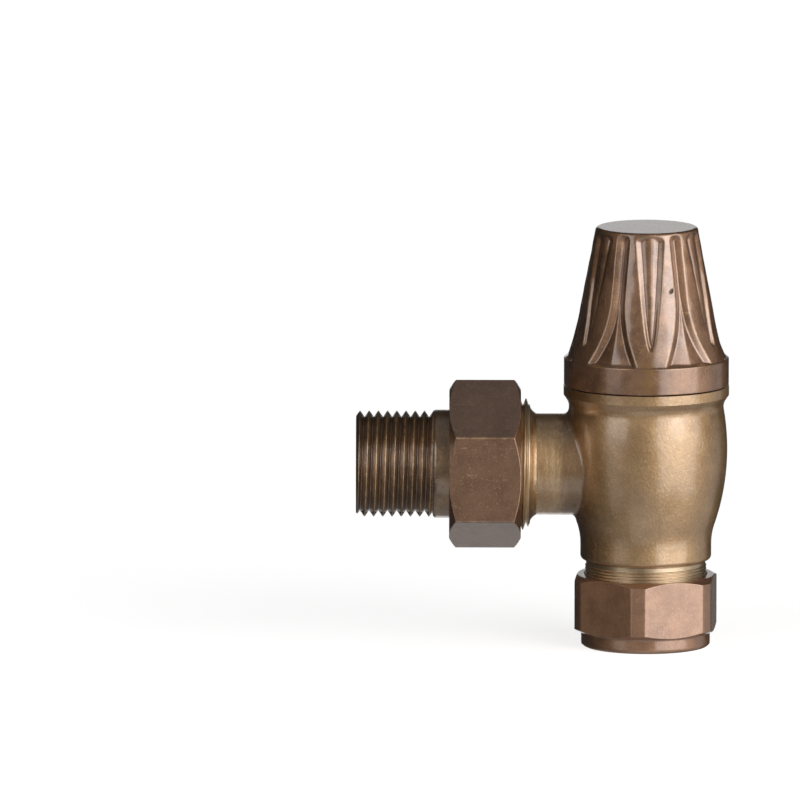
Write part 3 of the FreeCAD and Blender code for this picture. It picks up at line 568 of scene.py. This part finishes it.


# Materials: aged, lacquered brass and bronze with grain, scratches, wear and patina, and a little painted
# light and shade

class Paint:
    """Builds one material's nodes, all in object coordinates."""

    COLOUR_A, COLOUR_B, COLOUR_OUT = 6, 7, 2

    def __init__(self, name):
        self.material = bpy.data.materials.new(name)
        self.material.use_nodes = True
        self.tree = self.material.node_tree
        self.shader = self.tree.nodes["Principled BSDF"]
        self.place = self.tree.nodes.new("ShaderNodeTexCoord").outputs["Object"]

    def link(self, value, socket):
        """Feeds a socket from another socket, or sets its constant."""
        if isinstance(value, bpy.types.NodeSocket):
            self.tree.links.new(value, socket)
        else:
            socket.default_value = value

    def noise(self, scale, detail=3.0, roughness=0.55, stretch=None, turn=(0, 0, 0)):
        """Noise with features of about 1/scale metres, 0 to 1, stretched and turned if asked."""
        where = self.place
        if stretch is not None:
            mapping = self.tree.nodes.new("ShaderNodeMapping")
            self.link(where, mapping.inputs["Vector"])
            mapping.inputs["Rotation"].default_value = [math.radians(a) for a in turn]
            mapping.inputs["Scale"].default_value = stretch
            where = mapping.outputs["Vector"]
        node = self.tree.nodes.new("ShaderNodeTexNoise")
        self.link(where, node.inputs["Vector"])
        node.inputs["Scale"].default_value = scale
        node.inputs["Detail"].default_value = detail
        node.inputs["Roughness"].default_value = roughness
        return node.outputs["Fac"]

    def span(self, value, low, high, start=0.0, end=1.0):
        """Maps low..high to start..end, smoothly and clamped."""
        node = self.tree.nodes.new("ShaderNodeMapRange")
        node.interpolation_type = "SMOOTHSTEP"
        for name, amount in (("Value", value), ("From Min", low), ("From Max", high),
                             ("To Min", start), ("To Max", end)):
            self.link(amount, node.inputs[name])
        return node.outputs["Result"]

    def math(self, kind, a, b=0.0):
        """One sum on two numbers or sockets."""
        node = self.tree.nodes.new("ShaderNodeMath")
        node.operation = kind
        self.link(a, node.inputs[0])
        self.link(b, node.inputs[1])
        return node.outputs[0]

    def mix(self, share, a, b):
        """Mixes two colours, (r, g, b) or sockets."""
        node = self.tree.nodes.new("ShaderNodeMix")
        node.data_type = "RGBA"
        self.link(share, node.inputs[0])
        self.link((*a, 1) if isinstance(a, tuple) else a, node.inputs[self.COLOUR_A])
        self.link((*b, 1) if isinstance(b, tuple) else b, node.inputs[self.COLOUR_B])
        return node.outputs[self.COLOUR_OUT]

    def field(self, name):
        """The numbers that keep_field stored under a name."""
        node = self.tree.nodes.new("ShaderNodeAttribute")
        node.attribute_name = name
        return node.outputs["Fac"]

    def scratches(self, scale, stretch, turn, width):
        """Thin, broken lines along one direction, 0 to 1."""
        middle, break_scale = 0.5, 420.0
        lines = self.noise(scale, detail=2.0, roughness=0.5, stretch=stretch, turn=turn)
        near = self.math("ABSOLUTE", self.math("SUBTRACT", lines, middle))
        line = self.span(near, width, 0.0)
        broken = self.span(self.noise(break_scale, detail=2.0), 0.5, 0.62)
        return self.math("MULTIPLY", line, broken)

    def bump(self, heights):
        """Chains (height, strength, distance in metres) into one normal."""
        normal = None
        for height, strength, distance in heights:
            node = self.tree.nodes.new("ShaderNodeBump")
            node.inputs["Strength"].default_value = strength
            node.inputs["Distance"].default_value = distance
            self.link(height, node.inputs["Height"])
            if normal is not None:
                self.link(normal, node.inputs["Normal"])
            normal = node.outputs["Normal"]
        self.link(normal, self.shader.inputs["Normal"])

    def finish(self, colour, roughness, metallic=1.0, coat=0.0, coat_roughness=0.3, coat_ior=1.5):
        """Sets the shader, with a coat of lacquer if asked."""
        inputs = self.shader.inputs
        self.link((*colour, 1) if isinstance(colour, tuple) else colour, inputs["Base Color"])
        self.link(roughness, inputs["Roughness"])
        inputs["Metallic"].default_value = metallic
        inputs["Coat Weight"].default_value = coat
        inputs["Coat Roughness"].default_value = coat_roughness
        inputs["Coat IOR"].default_value = coat_ior
        return self.material


# Aged metal: scales of noise in features a metre, depths of bumps and places along x in metres
CLOUD_SCALE, SPECK_SCALE, FINE_SCALE = 2100.0, 2900.0, 6500.0
TONE_SCALE, RUB_SCALE, STREAK_SCALE = 700.0, 900.0, 500.0
CAST_SCALE, PITS_SCALE, MARKS_SCALE = 230.0, 1700.0, 1000.0
CAST_DEPTH, PITS_DEPTH, FINE_DEPTH, LINE_DEPTH = 0.00025, 0.0001, 0.00002, 0.00003
FINE_STRENGTH, LINE_STRENGTH, LINE_COLOUR = 0.3, 0.25, 0.45
SCRATCHES = (
    {"scale": 900.0, "stretch": (1, 0.06, 0.2), "turn": (20, 35, 50), "width": 0.009},
    {"scale": 800.0, "stretch": (0.07, 1, 0.5), "turn": (-40, 15, 70), "width": 0.008},
)
MARKS_STRETCH, MARKS_TURN = (1.0, 0.35, 0.16), (8, 14, 0)
ARM_MARKS_FROM, ARM_MARKS_FULL, ARM_MARKS_SHARE = -0.0145, -0.0175, 0.85
# Painted shade: a dark band on the barrel beside the side arm's root stands in for the shade in that
# corner.
CORNER_SHADE_FROM, CORNER_SHADE_FULL, CORNER_SHADE_PAST, CORNER_SHADE_END = -0.0098, -0.0128, -0.0155, -0.0185
CORNER_SHADE_COLOUR, CORNER_SHADE_SHARE = (0.2, 0.1, 0.035), 0.7
# Near black for the small pit in the knob: painted shade.
PIT_SHADE_COLOUR = (0.004, 0.003, 0.002)
LACQUER_IOR = 2.1


def aged_metal(name, base, dark, worn, roughness, wear=0.0, grime=0.0, flaws=None, on_body=False,
               mottle=120.0, cast=0.5, grain=0.3, pits=0.4, gloss=0.16):
    """Lacquered metal: patches of patina, fine grain, scratches, bright wear and dark hollows.

    wear and grime say how far the fields raised and sunk show. flaws is the colour of the streak of
    patina on a piece that has the fields streak and pit, where the field pit also paints the pit near
    black as painted shade. on_body adds file marks along the side arm and painted shade, a dark band in
    the corner where the arm leaves the barrel. mottle is the scale of the patches, grain the
    strength of the speckle, cast and pits those of the bumps, and gloss the lacquer's roughness.
    """
    paint = Paint(name)
    patches = paint.span(paint.noise(mottle, detail=4.0, roughness=0.6), 0.36, 0.68)
    colour = paint.mix(patches, base, dark)
    cloud = paint.span(paint.noise(CLOUD_SCALE, detail=3.0, roughness=0.65), 0.36, 0.66)
    colour = paint.mix(paint.math("MULTIPLY", cloud, grain), colour, dark)
    speck = paint.span(paint.noise(SPECK_SCALE, detail=2.0, roughness=0.6), 0.54, 0.72)
    colour = paint.mix(paint.math("MULTIPLY", speck, grain), colour, worn)
    lines = paint.math("MAXIMUM", *(paint.scratches(**kind) for kind in SCRATCHES))
    if on_body:
        marks = paint.noise(MARKS_SCALE, detail=3.0, roughness=0.6, stretch=MARKS_STRETCH, turn=MARKS_TURN)
        marks = paint.span(marks, 0.46, 0.66)
        split = paint.tree.nodes.new("ShaderNodeSeparateXYZ")
        paint.link(paint.place, split.inputs[0])
        along = split.outputs["X"]
        on_arm = paint.span(along, ARM_MARKS_FROM, ARM_MARKS_FULL)
        marks = paint.math("MULTIPLY", marks, paint.math("MULTIPLY", on_arm, ARM_MARKS_SHARE))
        lines = paint.math("MAXIMUM", lines, marks)
        # Painted shade: darkens the corner where the side arm leaves the barrel.
        corner = paint.math("MULTIPLY", paint.span(along, CORNER_SHADE_FROM, CORNER_SHADE_FULL),
                            paint.span(along, CORNER_SHADE_END, CORNER_SHADE_PAST))
        colour = paint.mix(paint.math("MULTIPLY", corner, CORNER_SHADE_SHARE), colour, CORNER_SHADE_COLOUR)
    colour = paint.mix(paint.math("MULTIPLY", lines, LINE_COLOUR), colour, worn)
    tone = paint.noise(TONE_SCALE, detail=3.0)
    rough = paint.span(tone, 0.3, 0.7, roughness - 0.04, roughness + 0.05)
    if grime > 0:
        colour = paint.mix(paint.math("MULTIPLY", paint.field("sunk"), grime), colour, dark)
    if wear > 0:
        rubbed = paint.span(paint.noise(RUB_SCALE, detail=3.0), 0.35, 0.62, 0.15 * wear, wear)
        rubbed = paint.math("MULTIPLY", paint.field("raised"), rubbed)
        colour = paint.mix(rubbed, colour, worn)
    if flaws is not None:
        uneven = paint.noise(STREAK_SCALE, detail=4.0, roughness=0.65)
        uneven = paint.span(uneven, 0.35, 0.65, 0.2, 0.95)
        colour = paint.mix(paint.math("MULTIPLY", paint.field("streak"), uneven), colour, flaws)
        # Painted shade: the pit is painted near black.
        colour = paint.mix(paint.field("pit"), colour, PIT_SHADE_COLOUR)
    paint.bump([
        (paint.noise(CAST_SCALE, detail=3.0, roughness=0.5), cast, CAST_DEPTH),
        (paint.noise(PITS_SCALE, detail=3.0, roughness=0.6), pits, PITS_DEPTH),
        (paint.noise(FINE_SCALE, detail=2.0, roughness=0.5), FINE_STRENGTH, FINE_DEPTH),
        (lines, LINE_STRENGTH, LINE_DEPTH),
    ])
    return paint.finish(colour, rough, coat=1.0, coat_roughness=gloss, coat_ior=LACQUER_IOR)


def plain_brass():
    """Bare turned brass with fine rings from the lathe."""
    paint = Paint("bare_turned_brass")
    light, dark, ring_strength, ring_depth = (0.62, 0.45, 0.2), (0.5, 0.34, 0.14), 0.3, 0.00003
    tone = paint.span(paint.noise(260.0, detail=3.0), 0.35, 0.7)
    colour = paint.mix(tone, light, dark)
    rings = paint.noise(2500.0, detail=2.0, roughness=0.5, stretch=(0.02, 0.02, 1.0))
    paint.bump([(rings, ring_strength, ring_depth)])
    return paint.finish(colour, paint.span(rings, 0.3, 0.7, 0.24, 0.36))


def soft_material(name, light, dark, scale, roughness):
    """Fibre, packing or rubber: matt, speckled and slightly uneven."""
    paint = Paint(name)
    strength, depth, spread_of_roughness = 0.4, 0.00005, 0.08
    tone = paint.span(paint.noise(scale, detail=4.0, roughness=0.65), 0.35, 0.7)
    colour = paint.mix(tone, light, dark)
    paint.bump([(paint.noise(scale * 2, detail=3.0), strength, depth)])
    rough = paint.span(paint.noise(scale, detail=2.0), 0.3, 0.7,
                       roughness - spread_of_roughness, roughness + spread_of_roughness)
    return paint.finish(colour, rough, metallic=0.0)


def plain_steel():
    """Steel with fine brushed lines."""
    paint = Paint("plain_steel")
    light, dark, brush_strength, brush_depth = (0.42, 0.42, 0.43), (0.3, 0.3, 0.31), 0.25, 0.00002
    tone = paint.span(paint.noise(500.0, detail=3.0), 0.35, 0.7)
    colour = paint.mix(tone, light, dark)
    brushed = paint.noise(1800.0, detail=2.0, roughness=0.5, stretch=(1, 1, 0.08))
    paint.bump([(brushed, brush_strength, brush_depth)])
    return paint.finish(colour, paint.span(brushed, 0.3, 0.7, 0.28, 0.4))


def paint_all(knob, nut, union, tail, crests):
    """Gives the new pieces, and the nodes that show their solids, their materials."""
    body = aged_metal(
        "aged_body_brass", base=(0.7, 0.435, 0.205), dark=(0.52, 0.3, 0.125), worn=(0.86, 0.66, 0.38),
        roughness=0.5, on_body=True, mottle=140.0, grain=0.5, pits=0.9, gloss=0.2)
    # The crests' brass is the body's brass painted lighter and paler: painted light that offsets the shade
    # between the fine crests.
    thread_metal_painted_light = aged_metal(
        "thread_brass_painted_light", base=(0.84, 0.64, 0.4), dark=(0.68, 0.48, 0.27), worn=(0.9, 0.74, 0.5),
        roughness=0.36, cast=0.0, grain=0.2, pits=0.1, gloss=0.2)
    knob_metal = aged_metal(
        "bronzed_casting", base=(0.5, 0.265, 0.145), dark=(0.28, 0.14, 0.07), worn=(0.8, 0.5, 0.2),
        roughness=0.54, wear=0.6, grime=0.7, flaws=(0.42, 0.23, 0.07), mottle=180.0, cast=0.3, gloss=0.13)
    nut_metal = aged_metal(
        "bronzed_copper_nut", base=(0.58, 0.315, 0.175), dark=(0.43, 0.22, 0.12), worn=(0.76, 0.5, 0.33),
        roughness=0.54, wear=0.2, mottle=200.0, cast=0.2, grain=0.32)
    union_metal = aged_metal(
        "bronzed_brown_nut", base=(0.38, 0.198, 0.105), dark=(0.28, 0.14, 0.072), worn=(0.82, 0.55, 0.31),
        roughness=0.54, wear=0.85, mottle=200.0, cast=0.15, grain=0.32)
    tail_metal = aged_metal(
        "bronzed_tail", base=(0.45, 0.265, 0.12), dark=(0.2, 0.11, 0.05), worn=(0.78, 0.52, 0.26),
        roughness=0.46, wear=0.5, grime=0.8, mottle=200.0, cast=0.1)
    pieces = [(knob, knob_metal), (nut, nut_metal), (union, union_metal), (tail, tail_metal)]
    pieces += [(crest, thread_metal_painted_light) for crest in crests]
    slots = {
        "body_brass": body,
        "plain_brass": plain_brass(),
        "fibre": soft_material("red_fibre", (0.36, 0.07, 0.05), (0.22, 0.04, 0.03), 900.0, 0.7),
        "packing": soft_material("white_packing", (0.72, 0.7, 0.64), (0.55, 0.53, 0.48), 900.0, 0.65),
        "rubber": soft_material("black_rubber", (0.03, 0.03, 0.03), (0.018, 0.018, 0.018), 700.0, 0.6),
        "steel": plain_steel(),
    }
    for entry in frame["record"]["subparts"]:
        if entry["material_slot"] in slots:
            pieces.append((frame["nodes"][entry["node"]], slots[entry["material_slot"]]))
    for piece, material in pieces:
        piece.data.materials.clear()
        piece.data.materials.append(material)


# Studio: pale floor, white backdrop, soft lights round the valve and the camera

def make_floor():
    """White to the camera apart from the valve's shadow. Reflections look past it to the studio."""
    reach, glow_strength, pale = 6.0, 0.77, (0.8, 0.8, 0.8, 1)
    corners = [(-reach, -reach, 0), (reach, -reach, 0), (reach, reach, 0), (-reach, reach, 0)]
    mesh = bpy.data.meshes.new("studio_floor")
    mesh.from_pydata(corners, [], [(0, 1, 2, 3)])
    floor = bpy.data.objects.new("studio_floor", mesh)
    bpy.context.scene.collection.objects.link(floor)
    material = bpy.data.materials.new("pale_floor")
    material.use_nodes = True
    tree = material.node_tree
    tree.nodes.clear()
    output = tree.nodes.new("ShaderNodeOutputMaterial")
    diffuse = tree.nodes.new("ShaderNodeBsdfDiffuse")
    diffuse.inputs["Color"].default_value = pale
    glow = tree.nodes.new("ShaderNodeEmission")
    path = tree.nodes.new("ShaderNodeLightPath")
    share = tree.nodes.new("ShaderNodeMath")
    share.operation = "MULTIPLY"
    share.inputs[1].default_value = glow_strength
    seen = path.outputs["Is Camera Ray"]
    for ray in ("Is Glossy Ray", "Is Transmission Ray"):
        either = tree.nodes.new("ShaderNodeMath")
        either.operation = "MAXIMUM"
        tree.links.new(seen, either.inputs[0])
        tree.links.new(path.outputs[ray], either.inputs[1])
        seen = either.outputs[0]
    tree.links.new(seen, share.inputs[0])
    tree.links.new(share.outputs[0], glow.inputs["Strength"])
    both = tree.nodes.new("ShaderNodeAddShader")
    tree.links.new(diffuse.outputs[0], both.inputs[0])
    tree.links.new(glow.outputs[0], both.inputs[1])
    tree.links.new(both.outputs[0], output.inputs["Surface"])
    mesh.materials.append(material)
    floor.visible_glossy = False


class Studio:
    """The light round the valve: soft boxes, placed by azimuth and elevation in degrees.

    Azimuth 0 is the camera's side, and + is to the right. A box is (azimuth from, to, elevation from, to,
    width of its soft edge, brightness).
    """

    BOXES = (
        (14, 84, -2, 44, 9, 1.6),
        (34, 58, 2, 30, 12, 1.75),
        (18, 76, -24, -2, 8, 1.35),
        (-58, -36, -30, -2, 4, 0.24),
        (-60, -28, 0, 44, 5, 1.1),
        (84, 124, -2, 40, 14, 0.15),
        (76, 130, -40, -2, 14, 0.35),
        (-62, 14, -35, 60, 12, 0.125),
        (-30, 76, -58, -24, 14, 0.3),
    )
    BACKDROP_SIDE = 172
    BACKDROP_LOW, BACKDROP_HIGH = -41, 11
    BACKDROP_EDGE = 10
    AMBIENT = 0.03
    OVERHEAD, OVERHEAD_FROM = 0.15, 58
    UNDERFOOT, UNDERFOOT_FROM = 0.24, 40
    POLE_EDGE = 30
    WHITE = (1, 1, 1, 1)

    def __init__(self):
        world = bpy.data.worlds.new("studio")
        bpy.context.scene.world = world
        world.use_nodes = True
        self.tree = world.node_tree
        self.tree.nodes.clear()

    def math(self, kind, a, b=0.0):
        """One sum on two numbers or sockets."""
        node = self.tree.nodes.new("ShaderNodeMath")
        node.operation = kind
        for value, socket in ((a, node.inputs[0]), (b, node.inputs[1])):
            if isinstance(value, bpy.types.NodeSocket):
                self.tree.links.new(value, socket)
            else:
                socket.default_value = value
        return node.outputs[0]

    def past(self, angle, middle, width):
        """Goes smoothly from 0 to 1 as an angle in radians passes the middle, given in degrees."""
        node = self.tree.nodes.new("ShaderNodeMapRange")
        node.interpolation_type = "SMOOTHSTEP"
        self.tree.links.new(angle, node.inputs["Value"])
        node.inputs["From Min"].default_value = math.radians(middle - width / 2)
        node.inputs["From Max"].default_value = math.radians(middle + width / 2)
        return node.outputs["Result"]

    def between(self, angle, low, high, width):
        """1 where an angle in radians lies between two that are given in degrees, with soft edges."""
        return self.math("SUBTRACT", self.past(angle, low, width), self.past(angle, high, width))

    def level(self, azimuth, elevation):
        """Brightness in a direction."""
        total = self.AMBIENT
        for left, right, low, high, width, brightness in self.BOXES:
            box = self.math("MULTIPLY", self.between(azimuth, left, right, width),
                            self.between(elevation, low, high, width))
            total = self.math("ADD", total, self.math("MULTIPLY", box, brightness))
        over = self.past(elevation, self.OVERHEAD_FROM, self.POLE_EDGE)
        over = self.math("MULTIPLY", over, self.OVERHEAD)
        downward = self.math("MULTIPLY", elevation, -1.0)
        under = self.past(downward, self.UNDERFOOT_FROM, self.POLE_EDGE)
        under = self.math("MULTIPLY", under, self.UNDERFOOT)
        return self.math("ADD", total, self.math("ADD", over, under))

    def behind(self, azimuth, elevation):
        """1 where the white backdrop stands, which is what the camera sees behind the valve."""
        sides = self.past(self.math("ABSOLUTE", azimuth), self.BACKDROP_SIDE, self.BACKDROP_EDGE)
        rise = self.between(elevation, self.BACKDROP_LOW, self.BACKDROP_HIGH, self.BACKDROP_EDGE)
        return self.math("MULTIPLY", sides, rise)

    def build(self):
        """Camera rays see white all round, and reflections see it where the backdrop stands."""
        tree = self.tree
        place = tree.nodes.new("ShaderNodeTexCoord")
        split = tree.nodes.new("ShaderNodeSeparateXYZ")
        tree.links.new(place.outputs["Generated"], split.inputs[0])
        toward_camera = self.math("MULTIPLY", split.outputs["Y"], -1.0)
        azimuth = self.math("ARCTAN2", split.outputs["X"], toward_camera)
        elevation = self.math("ARCSINE", split.outputs["Z"])
        light = tree.nodes.new("ShaderNodeBackground")
        light.inputs["Color"].default_value = self.WHITE
        tree.links.new(self.level(azimuth, elevation), light.inputs["Strength"])
        white = tree.nodes.new("ShaderNodeBackground")
        white.inputs["Color"].default_value = self.WHITE
        path = tree.nodes.new("ShaderNodeLightPath")
        glossy, transmitted = path.outputs["Is Glossy Ray"], path.outputs["Is Transmission Ray"]
        mirrored = self.math("MAXIMUM", glossy, transmitted)
        reflected = self.math("MULTIPLY", mirrored, self.behind(azimuth, elevation))
        chosen = tree.nodes.new("ShaderNodeMixShader")
        tree.links.new(self.math("MAXIMUM", path.outputs["Is Camera Ray"], reflected), chosen.inputs[0])
        tree.links.new(light.outputs[0], chosen.inputs[1])
        tree.links.new(white.outputs[0], chosen.inputs[2])
        output = tree.nodes.new("ShaderNodeOutputWorld")
        tree.links.new(chosen.outputs[0], output.inputs["Surface"])


def make_camera():
    """The picture's view: from far off and a little above, with the valve at the right."""
    distance, elevation, roll = 5.0, math.radians(8.7), math.radians(0.12)
    picture_width, sensor_width, far_end = 0.1574, 36.0, 100.0
    target = Vector((-0.048453, 0, 0.048562))
    data = bpy.data.cameras.new("camera")
    data.sensor_width = sensor_width
    data.lens = sensor_width * distance / picture_width
    data.clip_end = far_end
    camera = bpy.data.objects.new("camera", data)
    bpy.context.scene.collection.objects.link(camera)
    away = Vector((0, -math.cos(elevation), math.sin(elevation)))
    camera.location = target + away * distance
    camera.rotation_euler = (-away).to_track_quat("-Z", "Y").to_euler()
    camera.rotation_euler.rotate_axis("Z", roll)
    bpy.context.scene.camera = camera


paint_all(
    make_knob(),
    make_compression_nut(),
    make_union_nut(),
    make_radiator_tail(),
    [make_inlet_thread(), make_union_thread()],
)
make_floor()
Studio().build()
make_camera()
bpy.context.scene.view_settings.view_transform = "Standard"
